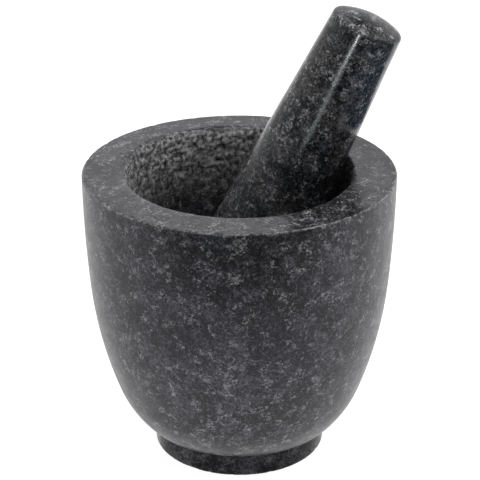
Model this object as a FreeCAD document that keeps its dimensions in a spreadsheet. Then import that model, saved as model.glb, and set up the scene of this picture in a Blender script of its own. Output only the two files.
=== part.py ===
import FreeCAD, Part
import math
import os

import Sketcher
from FreeCAD import Vector

# A granite mortar on a turned foot ring, with the loose pestle that leans in its bowl.
# Millimetres. +Z is up, the mortar's axis is the Z axis, and the origin is the centre of
# the foot's underside. Seen from the front, which is -Y, the pestle leans to the right, +X.
#
# Both pieces are turned on a lathe from one block each, so each is a revolved outline.
# The bowl is a second outline, revolved as a groove out of the mortar's blank.

doc = FreeCAD.newDocument("mortar_and_pestle")

# ---------------------------------------------------------------- driving dimensions

sheet = doc.addObject("Spreadsheet::Sheet", "sizes")

SIZES = [
    # the mortar's outside
    ("mortar_height", 134.2),
    ("rim_outer_radius", 70.0),
    ("rim_inner_radius", 52.6),
    ("foot_base_radius", 39.3),
    ("foot_top_radius", 39.9),
    ("foot_height", 13.0),
    ("belly_start_radius", 44.2),
    # the wall is three arcs in a row, each with the radius and the turn that it makes
    ("upper_wall_radius", 605.0),
    ("upper_wall_turn", 4.9),
    ("middle_wall_radius", 194.0),
    ("middle_wall_turn", 15.4),
    # the bowl
    ("bowl_radius", 51.0),
    ("bowl_depth", 91.2),
    # softened edges
    ("rim_outer_edge", 0.8),
    ("rim_inner_edge", 0.7),
    ("belly_edge", 0.8),
    ("foot_edge", 0.8),
    # the pestle
    ("pestle_reach", 139.0),
    ("pestle_top_radius", 15.9),
    ("pestle_end_radius", 23.7),
    ("pestle_dome_height", 3.7),
    ("pestle_top_edge", 1.5),
    # where the centre of the pestle's round end lies, and how the pestle leans
    ("pestle_end_x", -0.2),
    ("pestle_end_y", 18.8),
    ("pestle_end_z", 74.7),
    ("pestle_lean", 24.7),
    ("pestle_lean_heading", -6.0),
]

for row, (alias, value) in enumerate(SIZES, start=1):
    sheet.set("A%d" % row, alias)
    sheet.set("B%d" % row, str(value))
    sheet.setAlias("B%d" % row, alias)
doc.recompute()


def size(alias):
    """A cell's value, for the first guess of a point that an expression then holds."""
    return float(sheet.get(alias))


# ---------------------------------------------------------------- helpers


def origin_plane(body, role):
    """One of a body's own three base planes."""
    return next(f for f in body.Origin.OriginFeatures if f.Role == role)


def new_sketch(body, name):
    """An empty sketch on the body's XZ plane: its x is the radius and its y is the height."""
    sketch = body.newObject("Sketcher::SketchObject", name)
    sketch.AttachmentSupport = [(origin_plane(body, "XZ_Plane"), "")]
    sketch.MapMode = "FlatFace"
    return sketch


def bind(sketch, constraint, name, expression):
    """Add a constraint to a sketch, name it and hold it to a cell of the sheet."""
    index = sketch.addConstraint(constraint)
    sketch.renameConstraint(index, name)
    sketch.setExpression("Constraints." + name, expression)
    return index


def line(sketch, start, end):
    return sketch.addGeometry(Part.LineSegment(Vector(*start, 0), Vector(*end, 0)), False)


def arc(sketch, centre, radius, start_angle, end_angle):
    """An arc that runs counter-clockwise between two angles in degrees."""
    circle = Part.Circle(Vector(*centre, 0), Vector(0, 0, 1), radius)
    first, last = math.radians(start_angle), math.radians(end_angle)
    return sketch.addGeometry(Part.ArcOfCircle(circle, first, last), False)


START, END, CENTRE = 1, 2, 3          # the points of a line or arc, as Sketcher counts them
X_AXIS, Y_AXIS = -1, -2               # a sketch's own axes
ORIGIN_POINT = (-1, 1)


def join(sketch, first, first_point, second, second_point):
    sketch.addConstraint(Sketcher.Constraint("Coincident", first, first_point, second, second_point))


def smooth(sketch, first, first_point, second, second_point):
    """Join two curves end to end with no corner."""
    sketch.addConstraint(Sketcher.Constraint("Tangent", first, first_point, second, second_point))


def turn(body, kind, sketch, name):
    """Revolve a sketch a full turn about its own height axis, as a solid or as a cut."""
    feature = body.newObject("PartDesign::" + kind, name)
    feature.Profile = sketch
    feature.ReferenceAxis = (sketch, ["V_Axis"])
    feature.Angle = 360.0
    sketch.Visibility = False
    doc.recompute()
    return feature


def ring_edge(shape, radius, height):
    """The name of the circular edge about Z that has this radius and lies at this height."""
    for number, edge in enumerate(shape.Edges, start=1):
        if edge.Degenerated:            # a pole, where a round surface closes on the axis
            continue
        curve = edge.Curve
        if not isinstance(curve, Part.Circle):
            continue
        if abs(curve.Radius - radius) < 0.01 and abs(curve.Center.z - height) < 0.01:
            return "Edge%d" % number
    raise ValueError("no ring of radius %.2f at height %.2f" % (radius, height))


def round_edge(body, base, radius, height, alias, name):
    """Round one ring edge of the solid by the radius in a cell."""
    fillet = body.newObject("PartDesign::Fillet", name)
    fillet.Base = (base, [ring_edge(base.Shape, radius, height)])
    fillet.Radius = size(alias)
    fillet.setExpression("Radius", "sizes." + alias)
    doc.recompute()
    return fillet


# ---------------------------------------------------------------- mortar


def draw_mortar_outline(sketch):
    """Foot, the step under the belly, the wall's three arcs, and the flat rim."""
    high, rim = size("mortar_height"), size("rim_outer_radius")
    foot_low, foot_top = size("foot_base_radius"), size("foot_top_radius")
    step, belly = size("foot_height"), size("belly_start_radius")
    upper, middle = size("upper_wall_radius"), size("middle_wall_radius")
    turn_1 = size("upper_wall_turn")
    turn_2 = turn_1 + size("middle_wall_turn")

    # walking down the wall from the rim: each arc starts where the last one ends
    upper_centre = (rim - upper, high)
    along_1 = (math.cos(math.radians(turn_1)), -math.sin(math.radians(turn_1)))
    joint_1 = tuple(upper_centre[i] + upper * along_1[i] for i in (0, 1))
    middle_centre = tuple(joint_1[i] - middle * along_1[i] for i in (0, 1))
    along_2 = (math.cos(math.radians(turn_2)), -math.sin(math.radians(turn_2)))
    joint_2 = tuple(middle_centre[i] + middle * along_2[i] for i in (0, 1))
    # the lowest arc passes through the belly's start, which sets its radius
    chord = (belly - joint_2[0], step - joint_2[1])
    lower = (chord[0] ** 2 + chord[1] ** 2) / (-2.0 * (chord[0] * along_2[0] + chord[1] * along_2[1]))
    lower_centre = tuple(joint_2[i] - lower * along_2[i] for i in (0, 1))
    lower_end = math.degrees(math.atan2(step - lower_centre[1], belly - lower_centre[0]))

    base = line(sketch, (0, 0), (foot_low, 0))
    foot = line(sketch, (foot_low, 0), (foot_top, step))
    under_belly = line(sketch, (foot_top, step), (belly, step))
    low_wall = arc(sketch, lower_centre, lower, lower_end, -turn_2)
    mid_wall = arc(sketch, middle_centre, middle, -turn_2, -turn_1)
    high_wall = arc(sketch, upper_centre, upper, -turn_1, 0)
    top = line(sketch, (rim, high), (0, high))
    core = line(sketch, (0, high), (0, 0))

    join(sketch, base, START, *ORIGIN_POINT)
    join(sketch, base, END, foot, START)
    join(sketch, foot, END, under_belly, START)
    join(sketch, under_belly, END, low_wall, START)
    smooth(sketch, low_wall, END, mid_wall, START)
    smooth(sketch, mid_wall, END, high_wall, START)
    join(sketch, high_wall, END, top, START)
    join(sketch, top, END, core, START)
    join(sketch, core, END, *ORIGIN_POINT)
    sketch.addConstraint(Sketcher.Constraint("Horizontal", base))
    sketch.addConstraint(Sketcher.Constraint("Horizontal", under_belly))
    sketch.addConstraint(Sketcher.Constraint("Horizontal", top))
    sketch.addConstraint(Sketcher.Constraint("Vertical", core))
    # the wall meets the rim upright, so the upper arc's centre is level with the rim
    sketch.addConstraint(Sketcher.Constraint("Horizontal", high_wall, CENTRE, high_wall, END))

    bind(sketch, Sketcher.Constraint("DistanceX", *ORIGIN_POINT, base, END, foot_low),
         "foot_base", "sizes.foot_base_radius")
    bind(sketch, Sketcher.Constraint("DistanceX", *ORIGIN_POINT, foot, END, foot_top),
         "foot_top", "sizes.foot_top_radius")
    bind(sketch, Sketcher.Constraint("DistanceY", *ORIGIN_POINT, foot, END, step),
         "foot_height", "sizes.foot_height")
    bind(sketch, Sketcher.Constraint("DistanceX", *ORIGIN_POINT, low_wall, START, belly),
         "belly_start", "sizes.belly_start_radius")
    bind(sketch, Sketcher.Constraint("DistanceX", *ORIGIN_POINT, top, START, rim),
         "rim_radius", "sizes.rim_outer_radius")
    bind(sketch, Sketcher.Constraint("DistanceY", *ORIGIN_POINT, top, START, high),
         "mortar_height", "sizes.mortar_height")
    bind(sketch, Sketcher.Constraint("Radius", high_wall, upper),
         "upper_radius", "sizes.upper_wall_radius")
    bind(sketch, Sketcher.Constraint("Radius", mid_wall, middle),
         "middle_radius", "sizes.middle_wall_radius")
    bind(sketch, Sketcher.Constraint("Angle", high_wall, math.radians(turn_1)),
         "upper_turn", "sizes.upper_wall_turn * 1 deg")
    bind(sketch, Sketcher.Constraint("Angle", mid_wall, math.radians(turn_2 - turn_1)),
         "middle_turn", "sizes.middle_wall_turn * 1 deg")


def draw_bowl_outline(sketch):
    """A half-round bottom that runs smoothly into a wall that opens slightly to the rim."""
    high, mouth = size("mortar_height"), size("rim_inner_radius")
    round_radius = size("bowl_radius")
    bottom = high - size("bowl_depth")
    centre = (0.0, bottom + round_radius)

    # the wall runs from the mouth to where it touches the round bottom
    across, up = mouth - centre[0], high - centre[1]
    touch = math.atan2(up, across) - math.acos(round_radius / math.hypot(across, up))
    touch_point = (round_radius * math.cos(touch), centre[1] + round_radius * math.sin(touch))

    bowl = arc(sketch, centre, round_radius, -90, math.degrees(touch))
    wall = line(sketch, touch_point, (mouth, high))
    lid = line(sketch, (mouth, high), (0, high))
    core = line(sketch, (0, high), (0, bottom))

    smooth(sketch, bowl, END, wall, START)
    join(sketch, wall, END, lid, START)
    join(sketch, lid, END, core, START)
    join(sketch, core, END, bowl, START)
    sketch.addConstraint(Sketcher.Constraint("Horizontal", lid))
    sketch.addConstraint(Sketcher.Constraint("PointOnObject", lid, END, Y_AXIS))
    sketch.addConstraint(Sketcher.Constraint("PointOnObject", bowl, START, Y_AXIS))
    sketch.addConstraint(Sketcher.Constraint("PointOnObject", bowl, CENTRE, Y_AXIS))

    bind(sketch, Sketcher.Constraint("Radius", bowl, round_radius),
         "bowl_radius", "sizes.bowl_radius")
    bind(sketch, Sketcher.Constraint("DistanceX", *ORIGIN_POINT, wall, END, mouth),
         "mouth_radius", "sizes.rim_inner_radius")
    bind(sketch, Sketcher.Constraint("DistanceY", *ORIGIN_POINT, wall, END, high),
         "mouth_height", "sizes.mortar_height")
    bind(sketch, Sketcher.Constraint("DistanceY", *ORIGIN_POINT, bowl, START, bottom),
         "bowl_bottom", "sizes.mortar_height - sizes.bowl_depth")


def make_mortar():
    body = doc.addObject("PartDesign::Body", "mortar")
    body.Label = "mortar"

    outline = new_sketch(body, "mortar_outline")
    draw_mortar_outline(outline)
    blank = turn(body, "Revolution", outline, "mortar_blank")

    hollow = new_sketch(body, "bowl_outline")
    draw_bowl_outline(hollow)
    bowl = turn(body, "Groove", hollow, "bowl")
    if bowl.Shape.Volume > 0.8 * blank.Shape.Volume:
        raise ValueError("the bowl was not cut")

    high = size("mortar_height")
    edges = [
        (size("rim_outer_radius"), high, "rim_outer_edge"),
        (size("rim_inner_radius"), high, "rim_inner_edge"),
        (size("belly_start_radius"), size("foot_height"), "belly_edge"),
        (size("foot_base_radius"), 0.0, "foot_edge"),
    ]
    feature = bowl
    for radius, height, alias in edges:
        feature = round_edge(body, feature, radius, height, alias, alias + "_round")
    body.Tip = feature
    return body


# ---------------------------------------------------------------- pestle


def draw_pestle_outline(sketch):
    """The pestle upright, with the centre of its round grinding end at the origin."""
    reach, top = size("pestle_reach"), size("pestle_top_radius")
    end, dome = size("pestle_end_radius"), size("pestle_dome_height")
    shoulder = reach - dome

    # the shaft is a straight taper that touches the round end without a corner
    touch = math.atan2(shoulder, top) - math.acos(end / math.hypot(top, shoulder))
    touch_point = (end * math.cos(touch), end * math.sin(touch))
    # the top is a shallow dome: an arc over the shoulder, with its centre on the axis
    dome_radius = (top ** 2 + dome ** 2) / (2.0 * dome)
    dome_centre = (0.0, reach - dome_radius)
    dome_start = math.degrees(math.atan2(shoulder - dome_centre[1], top))

    grinding_end = arc(sketch, (0, 0), end, -90, math.degrees(touch))
    shaft = line(sketch, touch_point, (top, shoulder))
    dome_arc = arc(sketch, dome_centre, dome_radius, dome_start, 90)
    core = line(sketch, (0, reach), (0, -end))

    smooth(sketch, grinding_end, END, shaft, START)
    join(sketch, shaft, END, dome_arc, START)
    join(sketch, dome_arc, END, core, START)
    join(sketch, core, END, grinding_end, START)
    join(sketch, grinding_end, CENTRE, *ORIGIN_POINT)
    sketch.addConstraint(Sketcher.Constraint("PointOnObject", grinding_end, START, Y_AXIS))
    sketch.addConstraint(Sketcher.Constraint("PointOnObject", dome_arc, END, Y_AXIS))
    sketch.addConstraint(Sketcher.Constraint("PointOnObject", dome_arc, CENTRE, Y_AXIS))

    bind(sketch, Sketcher.Constraint("Radius", grinding_end, end),
         "end_radius", "sizes.pestle_end_radius")
    bind(sketch, Sketcher.Constraint("DistanceX", *ORIGIN_POINT, shaft, END, top),
         "top_radius", "sizes.pestle_top_radius")
    bind(sketch, Sketcher.Constraint("DistanceY", *ORIGIN_POINT, shaft, END, shoulder),
         "shoulder_height", "sizes.pestle_reach - sizes.pestle_dome_height")
    bind(sketch, Sketcher.Constraint("DistanceY", *ORIGIN_POINT, dome_arc, END, reach),
         "reach", "sizes.pestle_reach")


def make_pestle():
    body = doc.addObject("PartDesign::Body", "pestle")
    body.Label = "pestle"

    outline = new_sketch(body, "pestle_outline")
    draw_pestle_outline(outline)
    turned = turn(body, "Revolution", outline, "pestle_turned")

    shoulder = size("pestle_reach") - size("pestle_dome_height")
    body.Tip = round_edge(body, turned, size("pestle_top_radius"), shoulder,
                          "pestle_top_edge", "pestle_top_round")

    # the pitch leans the pestle over, and the yaw turns the way that it leans
    for letter in "xyz":
        body.setExpression("Placement.Base." + letter, "sizes.pestle_end_" + letter)
    body.setExpression("Placement.Rotation.Pitch", "sizes.pestle_lean * 1 deg")
    body.setExpression("Placement.Rotation.Yaw", "sizes.pestle_lean_heading * 1 deg")
    doc.recompute()
    return body


# ---------------------------------------------------------------- build, check and write

bodies = [make_mortar(), make_pestle()]
doc.recompute()

for item in doc.Objects:
    if "Invalid" in item.State or "Error" in item.State:
        raise ValueError("%s failed to build" % item.Label)

for body in bodies:
    shape = body.Shape
    if shape.isNull() or not shape.isValid() or len(shape.Solids) != 1:
        raise ValueError("%s is not one good solid" % body.Label)

os.makedirs("parts", exist_ok=True)
for body in bodies:
    body.Shape.exportStep(os.path.join("parts", body.Label + ".step"))
    box = body.Shape.BoundBox
    print("%-7s %8.1f cm3   x %6.2f %6.2f   y %6.2f %6.2f   z %6.2f %6.2f" % (
        body.Label, body.Shape.Volume / 1000.0,
        box.XMin, box.XMax, box.YMin, box.YMax, box.ZMin, box.ZMax))
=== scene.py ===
import math

import bpy
import numpy as np
from mathutils import Euler, Matrix, Vector, noise


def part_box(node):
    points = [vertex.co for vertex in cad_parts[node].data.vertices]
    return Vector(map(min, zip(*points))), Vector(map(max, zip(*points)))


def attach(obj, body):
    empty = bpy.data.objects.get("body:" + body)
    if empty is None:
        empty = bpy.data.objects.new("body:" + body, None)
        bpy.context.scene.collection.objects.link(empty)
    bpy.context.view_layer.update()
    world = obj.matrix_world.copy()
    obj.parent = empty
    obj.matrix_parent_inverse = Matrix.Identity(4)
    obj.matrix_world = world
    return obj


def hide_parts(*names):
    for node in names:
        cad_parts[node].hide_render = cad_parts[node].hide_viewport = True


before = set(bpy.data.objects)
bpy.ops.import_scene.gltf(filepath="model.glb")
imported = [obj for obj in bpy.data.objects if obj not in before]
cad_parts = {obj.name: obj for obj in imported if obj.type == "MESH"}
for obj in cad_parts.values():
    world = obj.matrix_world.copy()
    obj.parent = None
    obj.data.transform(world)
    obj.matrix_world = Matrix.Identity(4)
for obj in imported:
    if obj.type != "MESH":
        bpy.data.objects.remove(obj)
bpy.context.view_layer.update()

# A turned mortar of dark fine-grained granite and its loose pestle, which leans in the bowl.
# Everything is in metres in the CAD's frame: +Z is up, the mortar's axis is the Z axis, and
# the pestle leans towards +X.

MM = 0.001

# ---------------------------------------------------------------- sizes

RIM_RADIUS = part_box("mortar")[1].x
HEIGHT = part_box("mortar")[1].z

# the mortar's outline
MOUTH_RADIUS = 52.6 * MM
FOOT_BASE_RADIUS = 39.3 * MM
FOOT_TOP_RADIUS = 39.9 * MM
FOOT_HEIGHT = 13.0 * MM
BELLY_RADIUS = 44.2 * MM
WALL_ARCS = ((605.0 * MM, 4.9), (194.0 * MM, 15.4))     # radius and turn, from the rim down
BOWL_RADIUS = 51.0 * MM
BOWL_DEPTH = 91.2 * MM

# how much narrower the mouth is than a circle: heading in degrees from +X, and millimetres
MOUTH_SQUEEZE = ((-180, 2.4), (-150, 1.7), (-120, 0.9), (-90, 0.5), (-60, 0.7), (-30, 2.1),
                 (0, 2.5), (14, 1.3), (25, 0.0), (145, 0.3), (165, 1.6))
# where the mouth's edge is rubbed round the most, how wide that is and how deep it goes
RUBBED_HEADING = math.radians(108.0)
RUBBED_WIDTH = 4.0 * MM
RUBBED_DEPTH = 1.1 * MM
# pecks in the bowl: the size and depth of the large dents, the small ones and the crumbs
LARGE_PECK, LARGE_PECK_DEPTH = 3.6 * MM, 0.95 * MM
SMALL_PECK, SMALL_PECK_DEPTH = 1.9 * MM, 0.50 * MM
CRUMB, CRUMB_DEPTH = 1.1 * MM, 0.12 * MM
PECK_STRETCH = (1.0, 1.0, 1.5)          # pecks are flatter than they are wide

# the pestle upright, with the centre of its round end at its own origin
PESTLE_REACH = 139.0 * MM
PESTLE_TOP_RADIUS = 16.15 * MM
PESTLE_END_RADIUS = 23.7 * MM
PESTLE_DOME = 3.7 * MM
# how much higher its end is than a square cut: in the middle, and for each metre sideways
PESTLE_END_RISE = 0.35 * MM
PESTLE_END_SLOPE = 0.042
# where it lies, and how it leans
PESTLE_END_CENTRE = Vector((-0.2, 18.8, 74.7)) * MM
PESTLE_LEAN = math.radians(24.7)
PESTLE_HEADING = math.radians(-6.0)

# ---------------------------------------------------------------- outlines


def spaced(start, end, step):
    """How many steps of about this size lie between two distances."""
    return max(2, int(round(abs(end - start) / step)))


def straight(start, end, step):
    """Points of a straight stroke, both ends included."""
    start, end = np.array(start, float), np.array(end, float)
    count = spaced(0.0, np.linalg.norm(end - start), step)
    return start + (end - start) * np.linspace(0.0, 1.0, count + 1)[:, None]


def curved(centre, radius, first, last, step):
    """Points of an arc stroke between two angles in radians, both ends included."""
    count = spaced(first * radius, last * radius, step)
    angle = np.linspace(first, last, count + 1)
    return np.array(centre, float) + radius * np.column_stack((np.cos(angle), np.sin(angle)))


def trimmed(stroke, reach, at_end):
    """The stroke without its last (or first) stretch of this length."""
    points = stroke if at_end else stroke[::-1]
    back = np.concatenate(([0.0], np.cumsum(np.linalg.norm(np.diff(points[::-1], axis=0), axis=1))))
    keep = points[::-1][back > reach]
    cut = np.array([np.interp(reach, back, points[::-1][:, axis]) for axis in (0, 1)])
    kept = np.vstack((keep[::-1], cut))
    return kept if at_end else kept[::-1]


def outline(strokes, rounds):
    """One line through the strokes. Where two meet in a corner, rounds gives how far the corner
    is softened along each side, and 0 where they run into each other smoothly."""
    steps = 4
    line = strokes[0]
    for stroke, reach in zip(strokes[1:], rounds):
        if reach == 0.0:
            line = np.vstack((line, stroke[1:]))
            continue
        corner = stroke[0]
        line, rest = trimmed(line, reach, True), trimmed(stroke, reach, False)
        part = np.linspace(0.0, 1.0, steps + 2)[1:-1, None]
        bend = (1 - part) ** 2 * line[-1] + 2 * part * (1 - part) * corner + part ** 2 * rest[0]
        line = np.vstack((line, bend, rest))
    return line


def mortar_outline():
    """From the middle of the underside, up the outside, over the rim and down to the bowl's
    middle. Each point is (radius, height)."""
    upper_radius, upper_turn = WALL_ARCS[0]
    middle_radius, middle_turn = WALL_ARCS[1]
    turn_1 = -math.radians(upper_turn)
    turn_2 = turn_1 - math.radians(middle_turn)
    upper_centre = np.array((RIM_RADIUS - upper_radius, HEIGHT))
    along_1 = np.array((math.cos(turn_1), math.sin(turn_1)))
    along_2 = np.array((math.cos(turn_2), math.sin(turn_2)))
    middle_centre = upper_centre + (upper_radius - middle_radius) * along_1
    joint = middle_centre + middle_radius * along_2
    belly = np.array((BELLY_RADIUS, FOOT_HEIGHT))
    chord = belly - joint
    lower_radius = -chord.dot(chord) / (2.0 * chord.dot(along_2))
    lower_centre = joint - lower_radius * along_2
    belly_angle = math.atan2(*(belly - lower_centre)[::-1])

    bowl_centre = np.array((0.0, HEIGHT - BOWL_DEPTH + BOWL_RADIUS))
    mouth = np.array((MOUTH_RADIUS, HEIGHT))
    to_mouth = mouth - bowl_centre
    touch = math.atan2(to_mouth[1], to_mouth[0]) - math.acos(BOWL_RADIUS / np.linalg.norm(to_mouth))
    touch_point = bowl_centre + BOWL_RADIUS * np.array((math.cos(touch), math.sin(touch)))
    deep = math.radians(-50.0)              # below this the pecks are seldom seen, so steps are longer

    strokes = [
        straight((0.0, 0.0), (FOOT_BASE_RADIUS, 0.0), 4.0 * MM),
        straight((FOOT_BASE_RADIUS, 0.0), (FOOT_TOP_RADIUS, FOOT_HEIGHT), 1.6 * MM),
        straight((FOOT_TOP_RADIUS, FOOT_HEIGHT), belly, 1.0 * MM),
        curved(lower_centre, lower_radius, belly_angle, turn_2, 2.0 * MM),
        curved(middle_centre, middle_radius, turn_2, turn_1, 2.4 * MM),
        curved(upper_centre, upper_radius, turn_1, 0.0, 2.4 * MM),
        straight((RIM_RADIUS, HEIGHT), mouth, 1.1 * MM),
        straight(mouth, touch_point, 0.85 * MM),
        curved(bowl_centre, BOWL_RADIUS, touch, deep, 0.95 * MM),
        curved(bowl_centre, BOWL_RADIUS, deep, -math.pi / 2, 1.5 * MM),
    ]
    rounds = [0.8 * MM, 0.5 * MM, 0.9 * MM, 0.0, 0.0, 0.9 * MM, 1.6 * MM, 0.0, 0.0]
    return outline(strokes, rounds)


def pestle_outline():
    """From the tip of the round end up to the middle of the domed top."""
    shoulder = np.array((PESTLE_TOP_RADIUS, PESTLE_REACH - PESTLE_DOME))
    touch = (math.atan2(shoulder[1], shoulder[0])
             - math.acos(PESTLE_END_RADIUS / np.linalg.norm(shoulder)))
    touch_point = PESTLE_END_RADIUS * np.array((math.cos(touch), math.sin(touch)))
    dome_radius = (PESTLE_TOP_RADIUS ** 2 + PESTLE_DOME ** 2) / (2.0 * PESTLE_DOME)
    dome_centre = np.array((0.0, PESTLE_REACH - dome_radius))
    dome_start = math.atan2(*(shoulder - dome_centre)[::-1])
    strokes = [
        curved((0.0, 0.0), PESTLE_END_RADIUS, -math.pi / 2, touch, 0.9 * MM),
        straight(touch_point, shoulder, 1.2 * MM),
        curved(dome_centre, dome_radius, dome_start, math.pi / 2, 0.9 * MM),
    ]
    return outline(strokes, [0.0, 1.0 * MM])


# ---------------------------------------------------------------- turned meshes

# rings narrower than the first radius have half the points, and than the second a quarter
FULL_RING, HALF_RING = 26.0 * MM, 13.0 * MM
MORTAR_SEGMENTS, PESTLE_SEGMENTS = 420, 200


def segments_at(radius, full):
    """A ring's number of points: the full count, halved as the ring gets small near a pole."""
    if radius >= FULL_RING:
        return full
    return full // 2 if radius >= HALF_RING else full // 4


def turned_mesh(name, line, full):
    """A closed mesh from an outline that starts and ends on the axis."""
    points, rings, faces = [], [], []
    for radius, height in line[1:-1]:
        count = segments_at(radius, full)
        rings.append(range(len(points), len(points) + count))
        for index in range(count):
            angle = 2.0 * math.pi * index / count
            points.append((radius * math.cos(angle), radius * math.sin(angle), height))
    for pole, ring, upwards in ((line[0], rings[0], False), (line[-1], rings[-1], True)):
        points.append((0.0, 0.0, pole[1]))
        middle, count = len(points) - 1, len(ring)
        for index in range(count):
            edge = (ring[index], ring[(index + 1) % count])
            faces.append((middle, *edge) if upwards else (middle, *edge[::-1]))
    for low, high in zip(rings, rings[1:]):
        faces += joined_rings(low, high)
    mesh = bpy.data.meshes.new(name)
    mesh.from_pydata(points, [], faces)
    mesh.shade_smooth()
    return mesh


def joined_rings(low, high):
    """Faces between two rings, of which one may have half as many points as the other."""
    faces = []
    if len(low) == len(high):
        count = len(low)
        for index in range(count):
            after = (index + 1) % count
            faces.append((low[index], low[after], high[after], high[index]))
        return faces
    fine, coarse, flip = (low, high, False) if len(low) > len(high) else (high, low, True)
    count = len(coarse)
    for index in range(count):
        after = (index + 1) % count
        first, middle, last = fine[2 * index], fine[2 * index + 1], fine[(2 * index + 2) % len(fine)]
        fan = [(first, middle, coarse[index]), (middle, coarse[after], coarse[index]),
               (middle, last, coarse[after])]
        faces += [face[::-1] for face in fan] if flip else fan
    return faces


def mesh_points(mesh):
    found = np.empty(len(mesh.vertices) * 3, np.float32)
    mesh.vertices.foreach_get("co", found)
    return found.reshape(-1, 3).astype(float)


def mesh_normals(mesh):
    found = np.empty(len(mesh.vertices) * 3, np.float32)
    mesh.vertex_normals.foreach_get("vector", found)
    return found.reshape(-1, 3).astype(float)


def set_points(mesh, points):
    mesh.vertices.foreach_set("co", points.astype(np.float32).ravel())
    mesh.update()


def add_mask(mesh, name, values):
    """A value from 0 to 1 at each point, which a material reads by its name."""
    mask = mesh.attributes.new(name, "FLOAT", "POINT")
    mask.data.foreach_set("value", np.clip(values, 0.0, 1.0).astype(np.float32))


def smooth_step(value, low, high):
    part = np.clip((value - low) / (high - low), 0.0, 1.0)
    return part * part * (3.0 - 2.0 * part)


# ---------------------------------------------------------------- stone surface


def waves(points, size, offset=0.0):
    """Soft noise from about -1 to 1 whose swells are this size."""
    shift = Vector((offset, -offset, 0.5 * offset))
    return np.array([noise.noise(Vector(point) / size + shift) for point in points])


def pits(points, size, offset=0.0):
    """Dents like the marks of a pointed chisel: 1 at the middle of a dent, 0 at the ridges
    between dents, and each dent of its own depth."""
    shift = Vector((offset, offset, -offset))
    depths = np.empty(len(points))
    for index, point in enumerate(points):
        distances, centres = noise.voronoi(Vector(point) / size + shift)
        strength = 0.35 + 0.65 * noise.cell(centres[0] * 53.7)
        depths[index] = strength * max(0.0, 1.0 - 1.35 * distances[0] ** 2)
    return depths


def carve(mesh, chosen, depth):
    """Move the chosen points into the stone by these depths, along their normals."""
    points, normals = mesh_points(mesh), mesh_normals(mesh)
    points[chosen] -= normals[chosen] * depth[:, None]
    set_points(mesh, points)


def squeeze_mouth(mesh):
    """The mouth isn't quite round: it is narrower at the sides, and a little in front. This
    fades out on the rim, and deeper in the bowl."""
    points = mesh_points(mesh)
    radius, below_rim = np.hypot(points[:, 0], points[:, 1]), HEIGHT - points[:, 2]
    heading = np.degrees(np.arctan2(points[:, 1], points[:, 0]))
    narrower = MM * np.interp(heading, *zip(*MOUTH_SQUEEZE), period=360.0)
    narrower *= 1.0 - smooth_step(radius, MOUTH_RADIUS + 1.0 * MM, MOUTH_RADIUS + 10.0 * MM)
    narrower *= 1.0 - smooth_step(below_rim, 4.0 * MM, 50.0 * MM)
    narrower *= smooth_step(radius, 20.0 * MM, 45.0 * MM)
    points[:, :2] *= (1.0 - narrower / MOUTH_RADIUS)[:, None]
    set_points(mesh, points)


def rubbed(points):
    """How far the mouth's edge is rubbed round: little in front, most at the back and left."""
    heading = np.arctan2(points[:, 1], points[:, 0])
    share = 0.12 + 0.88 * smooth_step(np.cos(heading - RUBBED_HEADING), -0.3, 0.65)
    return share * (1.0 + 0.35 * waves(points, 9.0 * MM, 21.0))


def soften_mouth(mesh):
    """The mouth's edge is crisp in front and rubbed round elsewhere."""
    points = mesh_points(mesh)
    radius, height = np.hypot(points[:, 0], points[:, 1]), points[:, 2]
    apart = np.hypot(radius - MOUTH_RADIUS, height - HEIGHT)
    chosen = np.flatnonzero(apart < RUBBED_WIDTH)
    closeness = 1.0 - apart[chosen] / RUBBED_WIDTH
    carve(mesh, chosen, RUBBED_DEPTH * rubbed(points[chosen]) * closeness ** 2)


def peck_bowl(mesh):
    """The bowl is pecked by hand, roughest near the mouth and smoother further down from wear. Its
    pale pecked colour fades deeper down as well, partly as painted shade that darkens the lower
    bowl, and is dimmer just under the mouth's edge as painted shade on the band that catches the
    light from above. Where the mouth's edge is rubbed, the pecks reach out onto the rim and start
    less sharply."""
    points = mesh_points(mesh)
    radius, height = np.hypot(points[:, 0], points[:, 1]), points[:, 2]
    chosen = np.flatnonzero((radius < MOUTH_RADIUS + 5.0 * MM)
                            & (height > HEIGHT - BOWL_DEPTH - MM))
    points, radius, below_rim = points[chosen], radius[chosen], HEIGHT - height[chosen]
    past_edge = below_rim - np.maximum(radius - MOUTH_RADIUS, 0.0)
    wander = waves(points, 6.0 * MM, 5.0) + 0.7 * waves(points, 2.5 * MM, 15.0)
    give = rubbed(points)
    inside = past_edge + MM * (2.6 * give + (0.3 + 1.1 * give) * wander)

    # fewer pecks deeper down from wear; the same fade in the pale pecked colour is also painted shade
    # for the darker lower bowl
    wear_and_painted_shading = 1.0 - 0.88 * smooth_step(below_rim, 5.0 * MM, 38.0 * MM)
    bruised = smooth_step(inside, 0.0, 1.2 * MM) * wear_and_painted_shading
    # dimmer pale colour in the first few millimetres under the mouth: painted shade on the band that
    # catches the light from above
    bruised *= 0.45 + 0.55 * smooth_step(below_rim, 0.5 * MM, 3.5 * MM)
    mask = np.zeros(len(mesh.vertices))
    mask[chosen] = bruised
    # the pecked mask holds the pecked stone and the painted shade of the two fades above
    add_mask(mesh, "pecked", mask)

    share = smooth_step(inside, 0.0, MM * (1.2 + 3.4 * give)) * (0.3 + 0.7 * wear_and_painted_shading)
    here = points * PECK_STRETCH
    depth = (LARGE_PECK_DEPTH * pits(here, LARGE_PECK)
             + SMALL_PECK_DEPTH * pits(here, SMALL_PECK, 7.0)
             + CRUMB_DEPTH * (1.0 + waves(here, CRUMB, 3.0)))
    carve(mesh, chosen, depth * share)


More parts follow.
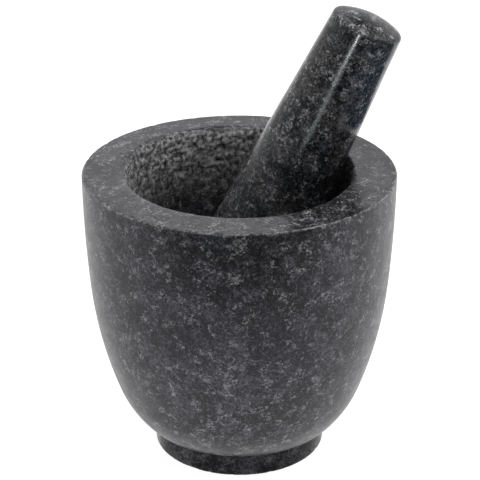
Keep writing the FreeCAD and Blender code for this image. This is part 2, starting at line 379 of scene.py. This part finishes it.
def nick_edges(mesh):
    """Small chips along the rim's outer and inner edges, the foot and the belly's lower edge, and a
    thin line along each of them that the material makes paler: partly rubbed stone, partly a
    painted highlight.
    """
    points = mesh_points(mesh)
    radius, height = np.hypot(points[:, 0], points[:, 1]), points[:, 2]
    edges = (                           # radius, height, width of the chips and their depth
        (RIM_RADIUS, HEIGHT, 1.6 * MM, 0.28 * MM),
        (MOUTH_RADIUS, HEIGHT, 2.0 * MM, 0.4 * MM),
        (BELLY_RADIUS, FOOT_HEIGHT, 1.3 * MM, 0.2 * MM),
        (FOOT_BASE_RADIUS, 0.0, 1.2 * MM, 0.15 * MM),
    )
    edge_wear_and_highlight, depth = np.zeros(len(points)), np.zeros(len(points))
    for edge_radius, edge_height, width, deepest in edges:
        apart = np.hypot(radius - edge_radius, height - edge_height)
        closeness = 1.0 - smooth_step(apart, 0.3 * width, width)
        chosen = np.flatnonzero(closeness > 0.0)
        chips = smooth_step(waves(points[chosen], 2.6 * MM, 11.0), 0.15, 0.65)
        depth[chosen] += deepest * closeness[chosen] * chips
        # a thin line along each edge, made paler in the material: partly rubbed stone, partly a
        # painted highlight
        narrow = 1.0 - smooth_step(apart[chosen], 0.2 * width, 0.65 * width)
        edge_wear_and_highlight[chosen] = np.maximum(edge_wear_and_highlight[chosen], narrow)
    chosen = np.flatnonzero(depth > 0.0)
    carve(mesh, chosen, depth[chosen])
    # paler line along the edges: partly rubbed stone, partly a painted highlight
    add_mask(mesh, "edge", edge_wear_and_highlight)


def sit_on_floor(mesh):
    """Nothing of the underside reaches below the flat face that the mortar stands on."""
    points = mesh_points(mesh)
    points[:, 2] = np.maximum(points[:, 2], 0.0)
    set_points(mesh, points)


def make_mortar():
    mesh = turned_mesh("mortar_stone", mortar_outline(), MORTAR_SEGMENTS)
    height = mesh_points(mesh)[:, 2]
    above_foot = smooth_step(height, FOOT_HEIGHT - 0.4 * MM, FOOT_HEIGHT + 0.2 * MM)
    add_mask(mesh, "foot", 1.0 - above_foot)
    add_mask(mesh, "rim", smooth_step(height, HEIGHT - 0.5 * MM, HEIGHT - 0.1 * MM))
    peck_bowl(mesh)
    soften_mouth(mesh)
    nick_edges(mesh)
    squeeze_mouth(mesh)
    sit_on_floor(mesh)
    piece = bpy.data.objects.new("mortar_stone", mesh)
    bpy.context.scene.collection.objects.link(piece)
    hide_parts("mortar")
    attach(piece, "mortar")
    return piece


def skew_end(mesh):
    """The pestle's top end was cut a little askew, so it is highest on the side it leans to."""
    points = mesh_points(mesh)
    share = smooth_step(points[:, 2], PESTLE_REACH - 22.0 * MM, PESTLE_REACH - 5.0 * MM)
    points[:, 2] += share * (PESTLE_END_RISE + PESTLE_END_SLOPE * points[:, 0])
    set_points(mesh, points)


def make_pestle():
    mesh = turned_mesh("pestle_stone", pestle_outline(), PESTLE_SEGMENTS)
    points = mesh_points(mesh)
    radius, height = np.hypot(points[:, 0], points[:, 1]), points[:, 2]
    shoulder = PESTLE_REACH - PESTLE_DOME
    grinding = 1.0 - smooth_step(height, -6.0 * MM, 10.0 * MM)
    chosen = np.flatnonzero(grinding > 0.0)
    carve(mesh, chosen, 0.28 * MM * pits(points[chosen], 2.0 * MM, 5.0) * grinding[chosen])
    carve(mesh, np.arange(len(points)), 0.05 * MM * (1.0 + waves(points, 17.0 * MM, 9.0)))
    dusty = 0.3 * (1.0 - smooth_step(height, 38.0 * MM, 80.0 * MM))
    add_mask(mesh, "pecked", np.maximum(grinding, dusty))
    from_edge = np.hypot(radius - PESTLE_TOP_RADIUS, height - shoulder)
    add_mask(mesh, "edge", 0.15 * (1.0 - smooth_step(from_edge, 0.5 * MM, 2.5 * MM)))
    add_mask(mesh, "end_face", smooth_step(height, shoulder - 2.0 * MM, shoulder + 1.0 * MM))
    skew_end(mesh)

    place = (Matrix.Translation(PESTLE_END_CENTRE)
             @ Euler((0.0, PESTLE_LEAN, PESTLE_HEADING), "XYZ").to_matrix().to_4x4())
    mesh.transform(place)
    piece = bpy.data.objects.new("pestle_stone", mesh)
    bpy.context.scene.collection.objects.link(piece)
    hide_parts("pestle")
    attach(piece, "pestle")
    return piece


# ---------------------------------------------------------------- materials


class Graph:
    """A material's node tree, with short names for the nodes that the stone needs."""

    def __init__(self, name):
        self.material = bpy.data.materials.new(name)
        self.material.use_nodes = True
        self.tree = self.material.node_tree
        self.shader = self.tree.nodes["Principled BSDF"]

    def add(self, kind, values=None, **settings):
        """A node with these settings. values gives its inputs: a number, a colour or an output
        of another node, by the input's name or number."""
        node = self.tree.nodes.new(kind)
        for name, value in settings.items():
            setattr(node, name, value)
        for name, value in (values or {}).items():
            if isinstance(value, bpy.types.NodeSocket):
                self.tree.links.new(value, node.inputs[name])
            else:
                node.inputs[name].default_value = value
        return node

    def coords(self):
        return self.add("ShaderNodeTexCoord").outputs["Object"]

    def mask(self, name):
        return self.add("ShaderNodeAttribute", attribute_name=name).outputs["Fac"]

    def noise(self, place, size, detail=2.0, rough=0.5, distortion=0.0):
        values = {"Vector": place, "Scale": 1.0 / size, "Detail": detail, "Roughness": rough,
                  "Distortion": distortion}
        return self.add("ShaderNodeTexNoise", values)

    def cells(self, place, size):
        """Crystals of this size. Color is random in each crystal."""
        return self.add("ShaderNodeTexVoronoi", {"Vector": place, "Scale": 1.0 / size})

    def maths(self, operation, first, second=0.0, clamp=False):
        values = {0: first, 1: second}
        return self.add("ShaderNodeMath", values, operation=operation, use_clamp=clamp).outputs[0]

    def scaled(self, value, low, high, to_low=0.0, to_high=1.0, smooth=True):
        """A value's range taken to another, held at both ends."""
        kind = "SMOOTHSTEP" if smooth else "LINEAR"
        values = {"Value": value, "From Min": low, "From Max": high, "To Min": to_low,
                  "To Max": to_high}
        return self.add("ShaderNodeMapRange", values, interpolation_type=kind).outputs["Result"]

    def blend(self, share, first, second):
        """Two colours, mixed by a share."""
        node = self.add("ShaderNodeMix", data_type="RGBA")
        for index, value in ((0, share), (6, first), (7, second)):
            if isinstance(value, bpy.types.NodeSocket):
                self.tree.links.new(value, node.inputs[index])
            else:
                node.inputs[index].default_value = value
        return node.outputs[2]

    def bump(self, height, distance, strength):
        values = {"Height": height, "Distance": distance, "Strength": strength}
        return self.add("ShaderNodeBump", values).outputs["Normal"]

    def finish(self, **inputs):
        """Link or set the shader's own sockets."""
        for name, value in inputs.items():
            socket = self.shader.inputs[name.replace("_", " ")]
            if isinstance(value, bpy.types.NodeSocket):
                self.tree.links.new(value, socket)
            else:
                socket.default_value = value
        return self.material


def grey(value, tint=(1.0, 1.0, 1.0)):
    return (*(value * channel for channel in tint), 1.0)


def stone_grain(graph, place):
    """Values from 0 to 1 for the granite's grains: pale feldspar that gathers in wisps and
    small clusters, fine bright salt, and the mottled mass between them."""
    warp = graph.noise(place, 1.7 * MM, 3.0, 0.6)
    offset = graph.add("ShaderNodeVectorMath", {0: warp.outputs["Color"], 1: (0.5, 0.5, 0.5)},
                       operation="SUBTRACT").outputs[0]
    bent = graph.add("ShaderNodeVectorMath", {0: offset, 1: (2.6 * MM,) * 3, 2: place},
                     operation="MULTIPLY_ADD").outputs[0]
    crystal = graph.add("ShaderNodeSeparateColor",
                        {0: graph.cells(bent, 1.25 * MM).outputs["Color"]})
    small = graph.add("ShaderNodeSeparateColor",
                      {0: graph.cells(bent, 0.7 * MM).outputs["Color"]})
    slow = graph.scaled(graph.noise(place, 10.0 * MM, 3.0, 0.6).outputs["Fac"], 0.3, 0.7, -1.0, 1.0)
    clusters = graph.scaled(graph.noise(place, 5.2 * MM, 4.0, 0.65).outputs["Fac"], 0.44, 0.68)
    strands = graph.noise(place, 3.6 * MM, 3.0, 0.6, 1.4).outputs["Fac"]
    ridge = graph.scaled(graph.maths("ABSOLUTE", graph.maths("SUBTRACT", strands, 0.5)),
                         0.0, 0.045, 1.0, 0.0)
    likely = graph.maths("ADD", graph.maths("MULTIPLY", clusters, 0.42),
                         graph.maths("MULTIPLY", ridge, 0.18))
    inside = graph.scaled(graph.noise(place, 0.8 * MM, 3.0, 0.6).outputs["Fac"], 0.3, 0.7, 0.35, 1.0)
    pale = graph.scaled(graph.maths("ADD", crystal.outputs[0], likely), 0.84, 1.34)
    blots = graph.noise(bent, 2.0 * MM, 5.0, 0.74).outputs["Fac"]
    blots = graph.maths("ADD", blots, graph.maths("MULTIPLY", slow, 0.03))
    pale = graph.maths("MAXIMUM", pale, graph.scaled(blots, 0.49, 0.74, 0.0, 0.75))
    pale = graph.maths("MULTIPLY", pale, inside)
    salt = graph.scaled(graph.maths("ADD", small.outputs[0], likely), 1.02, 1.30)
    fine = graph.noise(bent, 1.0 * MM, 4.0, 0.7).outputs["Fac"]
    mottle = graph.maths("ADD", fine, graph.maths("MULTIPLY", slow, 0.08))
    return pale, salt, graph.scaled(mottle, 0.42, 0.68)


def granite(name, deep, mass, other_mass, feldspar, glint, bruised, smooth_rough, pale_rough,
            calm=()):
    """Granite in these colours, with a polish that the crystals break up: what its shader needs
    for colour, roughness, gloss and bumps. The masks of the mesh roughen it and give it the pale
    pecked colour where it is pecked; in the bowl that colour fades deeper down, partly as painted
    shade. Along the edges they make it paler as well, partly rubbed stone and partly a painted
    highlight. calm gives masks of where the grain shows less, each with the share that is lost."""
    graph = Graph(name)
    place = graph.coords()
    pale, salt, mottle = stone_grain(graph, place)
    strength = 1.0
    for mask, lost in calm:
        kept = graph.scaled(graph.mask(mask), 0.0, 1.0, 1.0, 1.0 - lost)
        strength = graph.maths("MULTIPLY", kept, strength)
    drift = graph.noise(place, 13.0 * MM, 3.0, 0.6).outputs["Fac"]
    colour = graph.blend(mottle, deep, graph.blend(graph.scaled(drift, 0.40, 0.60), mass,
                                                   other_mass))
    colour = graph.blend(graph.maths("MULTIPLY", pale, strength), colour, feldspar)
    colour = graph.blend(graph.maths("MULTIPLY", salt, strength), colour, glint)
    level = graph.scaled(graph.maths("ADD", mottle, pale), 0.0, 1.3, 0.30, 0.54)

    pecked, edge = graph.mask("pecked"), graph.mask("edge")
    crumbs = graph.noise(place, 1.9 * MM, 3.0, 0.6).outputs["Fac"]
    # pale pecked colour, with the painted shade of the bowl's fade with depth in it
    bruise_and_depth_shade = graph.maths("MULTIPLY", graph.scaled(pecked, 0.1, 1.0, smooth=False),
                         graph.scaled(crumbs, 0.36, 0.66, 0.08, 1.0))
    # paler colour along the edges: partly rubbed stone, partly a painted highlight
    wear_and_painted_shading = graph.maths("MULTIPLY", edge, graph.scaled(crumbs, 0.38, 0.66, 0.05, 0.45))
    colour = graph.blend(graph.maths("MAXIMUM", bruise_and_depth_shade, wear_and_painted_shading), colour, bruised)

    polish = graph.scaled(graph.maths("MAXIMUM", pale, salt), 0.0, 1.0, smooth_rough, pale_rough)
    patches = graph.noise(place, 5.0 * MM, 3.0, 0.55).outputs["Fac"]
    polish = graph.maths("ADD", polish, graph.scaled(patches, 0.35, 0.65, -0.03, 0.05))
    rough = graph.maths("ADD", polish, graph.maths("MULTIPLY", pecked, 0.32), clamp=True)

    grain = graph.noise(place, 0.55 * MM, 4.0, 0.6).outputs["Fac"]
    grain_depth = graph.maths("MULTIPLY", grain, graph.scaled(pecked, 0.0, 1.0, 0.05, 1.0))
    lumps = graph.noise(place, 1.6 * MM, 3.0, 0.6).outputs["Fac"]
    lump_depth = graph.maths("MULTIPLY", lumps, pecked)
    height = graph.maths("ADD", grain_depth, lump_depth)
    normal = graph.bump(height, 0.45 * MM, 0.7)
    return graph, colour, rough, level, normal


def body_material():
    violet = (1.0, 0.96, 1.13)
    graph, colour, rough, level, normal = granite(
        "honed_granite", deep=grey(0.003, violet), mass=grey(0.040, violet),
        other_mass=grey(0.022, violet), feldspar=grey(0.130, (1.0, 0.98, 1.05)),
        glint=grey(0.21, (1.0, 0.99, 1.02)), bruised=grey(0.39, (1.0, 0.99, 0.99)),
        # fewer pale flecks on the foot: painted shade under the belly's overhang
        smooth_rough=0.33, pale_rough=0.42, calm=(("rim", 0.12), ("foot", 0.85)))
    # the foot's lower roughness is its polish; its weaker reflection below is painted shade under the
    # belly's overhang
    flat_rim, foot = graph.mask("rim"), graph.mask("foot")
    rough = graph.maths("SUBTRACT", rough, graph.maths("MULTIPLY", flat_rim, 0.11))
    rough = graph.maths("SUBTRACT", rough, graph.maths("MULTIPLY", foot, 0.12), clamp=True)
    level = graph.maths("ADD", level, graph.maths("MULTIPLY", flat_rim, 0.14))
    # weaker reflection on the foot: painted shade under the belly's overhang
    level = graph.maths("SUBTRACT", level, graph.maths("MULTIPLY", foot, 0.22))
    return graph.finish(Base_Color=colour, Roughness=rough, Normal=normal,
                        Specular_IOR_Level=level,
                        Specular_Tint=grey(1.0, (1.0, 0.965, 1.10)))


def pestle_material():
    graph, colour, rough, level, normal = granite(
        "polished_granite", deep=grey(0.005, (0.7, 1.0, 1.3)),
        mass=grey(0.062, (1.1, 0.97, 0.95)), other_mass=grey(0.045, (0.75, 1.02, 1.25)),
        feldspar=grey(0.20, (1.02, 0.95, 1.0)), glint=grey(0.29, (0.97, 1.0, 1.02)),
        bruised=grey(0.2), smooth_rough=0.13, pale_rough=0.28)
    rough = graph.maths("ADD", rough, graph.maths("MULTIPLY", graph.mask("end_face"), 0.14))
    return graph.finish(Base_Color=colour, Roughness=rough, Normal=normal,
                        Specular_IOR_Level=level)


# ---------------------------------------------------------------- stage, light and camera


def plain_material(name, colour, glow=0.0):
    graph = Graph(name)
    return graph.finish(Base_Color=colour, Roughness=0.85, Specular_IOR_Level=0.1,
                        Emission_Color=grey(1.0), Emission_Strength=glow)


def sheet(name, left, right, front, back, height, material):
    """A flat level rectangle that isn't part of the object."""
    corners = [(left, front, height), (right, front, height), (right, back, height),
               (left, back, height)]
    mesh = bpy.data.meshes.new(name)
    mesh.from_pydata(corners, [], [(0, 1, 2, 3)])
    mesh.materials.append(material)
    piece = bpy.data.objects.new(name, mesh)
    bpy.context.scene.collection.objects.link(piece)
    return piece


def card(name, left, right, front, back, height, colour):
    """A dark sheet that the camera doesn't see and that the stone reflects, like the unlit
    side of a studio."""
    piece = sheet(name, left, right, front, back, height, plain_material(name, colour))
    piece.visible_camera = False
    piece.visible_shadow = False
    return piece


def soft_light(name, place, target, width, depth, watts, colour=(1.0, 1.0, 1.0)):
    lamp = bpy.data.lights.new(name, "AREA")
    lamp.shape = "RECTANGLE"
    lamp.size, lamp.size_y = width, depth
    lamp.energy = watts
    lamp.color = colour
    light = bpy.data.objects.new(name, lamp)
    light.location = place
    light.rotation_euler = (Vector(target) - Vector(place)).to_track_quat("-Z", "Y").to_euler()
    light.visible_camera = False
    bpy.context.scene.collection.objects.link(light)
    return light


def make_stage():
    reach = 6.0
    sheet("floor", -reach, reach, -reach, reach, 0.0,
          plain_material("pale_floor", grey(0.25), 0.95))
    # in front, just above the floor: it darkens the middle of the wall
    card("dark_card", -1.3, 1.3, -5.9, -0.21, 0.012, grey(0.012, (0.8, 1.0, 1.3)))
    # beside the pestle, and seen in its polish alone
    flag = card("pestle_flag", 0.071, 0.18, -0.16, 0.04, 0.1345, grey(0.13, (0.72, 1.0, 1.4)))
    flag.visible_diffuse = False


def make_world():
    """White behind the object, dimmer in front, straight above, low down and to the right."""
    world = bpy.data.worlds.new("studio")
    world.use_nodes = True
    tree = world.node_tree
    place = tree.nodes.new("ShaderNodeTexCoord").outputs["Generated"]
    split = tree.nodes.new("ShaderNodeSeparateXYZ")
    tree.links.new(place, split.inputs[0])
    ramps = (                           # axis, its range, and the strength at both ends
        ("Y", -0.9, 0.25, 0.08, 0.97),
        ("Z", 0.42, 0.75, 1.0, 0.15),
        ("Z", 0.33, 0.41, 0.82, 1.0),
        ("X", -0.02, 0.09, 1.0, 0.87),
    )
    strength = None
    for axis, low, high, at_low, at_high in ramps:
        ramp = tree.nodes.new("ShaderNodeMapRange")
        ramp.interpolation_type = "SMOOTHSTEP"
        for name, value in (("From Min", low), ("From Max", high), ("To Min", at_low),
                            ("To Max", at_high)):
            ramp.inputs[name].default_value = value
        tree.links.new(split.outputs[axis], ramp.inputs["Value"])
        if strength is None:
            strength = ramp.outputs["Result"]
            continue
        both = tree.nodes.new("ShaderNodeMath")
        both.operation = "MULTIPLY"
        tree.links.new(strength, both.inputs[0])
        tree.links.new(ramp.outputs["Result"], both.inputs[1])
        strength = both.outputs[0]
    background = tree.nodes["Background"]
    background.inputs["Color"].default_value = grey(1.0)
    tree.links.new(strength, background.inputs["Strength"])
    bpy.context.scene.world = world


def make_lights():
    middle = Vector((0.0, 0.0, 0.6 * HEIGHT))
    top = soft_light("top_box", (0.3, 0.0, 1.45), middle, 1.4, 1.4, 34.0)
    top.visible_glossy = False
    # the long streak down the pestle: a wide glow, a narrow core, and a spark at its top
    streak_at = (0.05, 0.014, 0.17)
    soft_light("front_glow", (-0.13, -0.47, 0.100), streak_at, 0.11, 0.17, 0.12, (0.75, 0.97, 1.0))
    soft_light("front_core", (-0.13, -0.46, 0.120), streak_at, 0.014, 0.11, 0.03)
    soft_light("front_spark", (-0.13, -0.455, 0.168), streak_at, 0.020, 0.045, 0.16)


def make_camera():
    """At the height of a person who stands at a table, looking down at the mortar."""
    elevation = math.radians(24.38)
    distance = 0.8138
    aim = Vector((0.3 * MM, 0.0, 0.75 * HEIGHT - 0.65 * MM))
    lens = bpy.data.cameras.new("camera")
    lens.sensor_width = 36.0
    lens.lens = 134.9
    lens.clip_start, lens.clip_end = 0.05, 30.0
    camera = bpy.data.objects.new("camera", lens)
    camera.location = aim + distance * Vector((0.0, -math.cos(elevation), math.sin(elevation)))
    camera.rotation_euler = (math.pi / 2 - elevation, 0.0, 0.0)
    bpy.context.scene.collection.objects.link(camera)
    bpy.context.scene.camera = camera


# ---------------------------------------------------------------- the whole scene

make_mortar().data.materials.append(body_material())
make_pestle().data.materials.append(pestle_material())
make_stage()
make_world()
make_lights()
make_camera()
bpy.context.scene.view_settings.view_transform = "Standard"
bpy.context.view_layer.update()
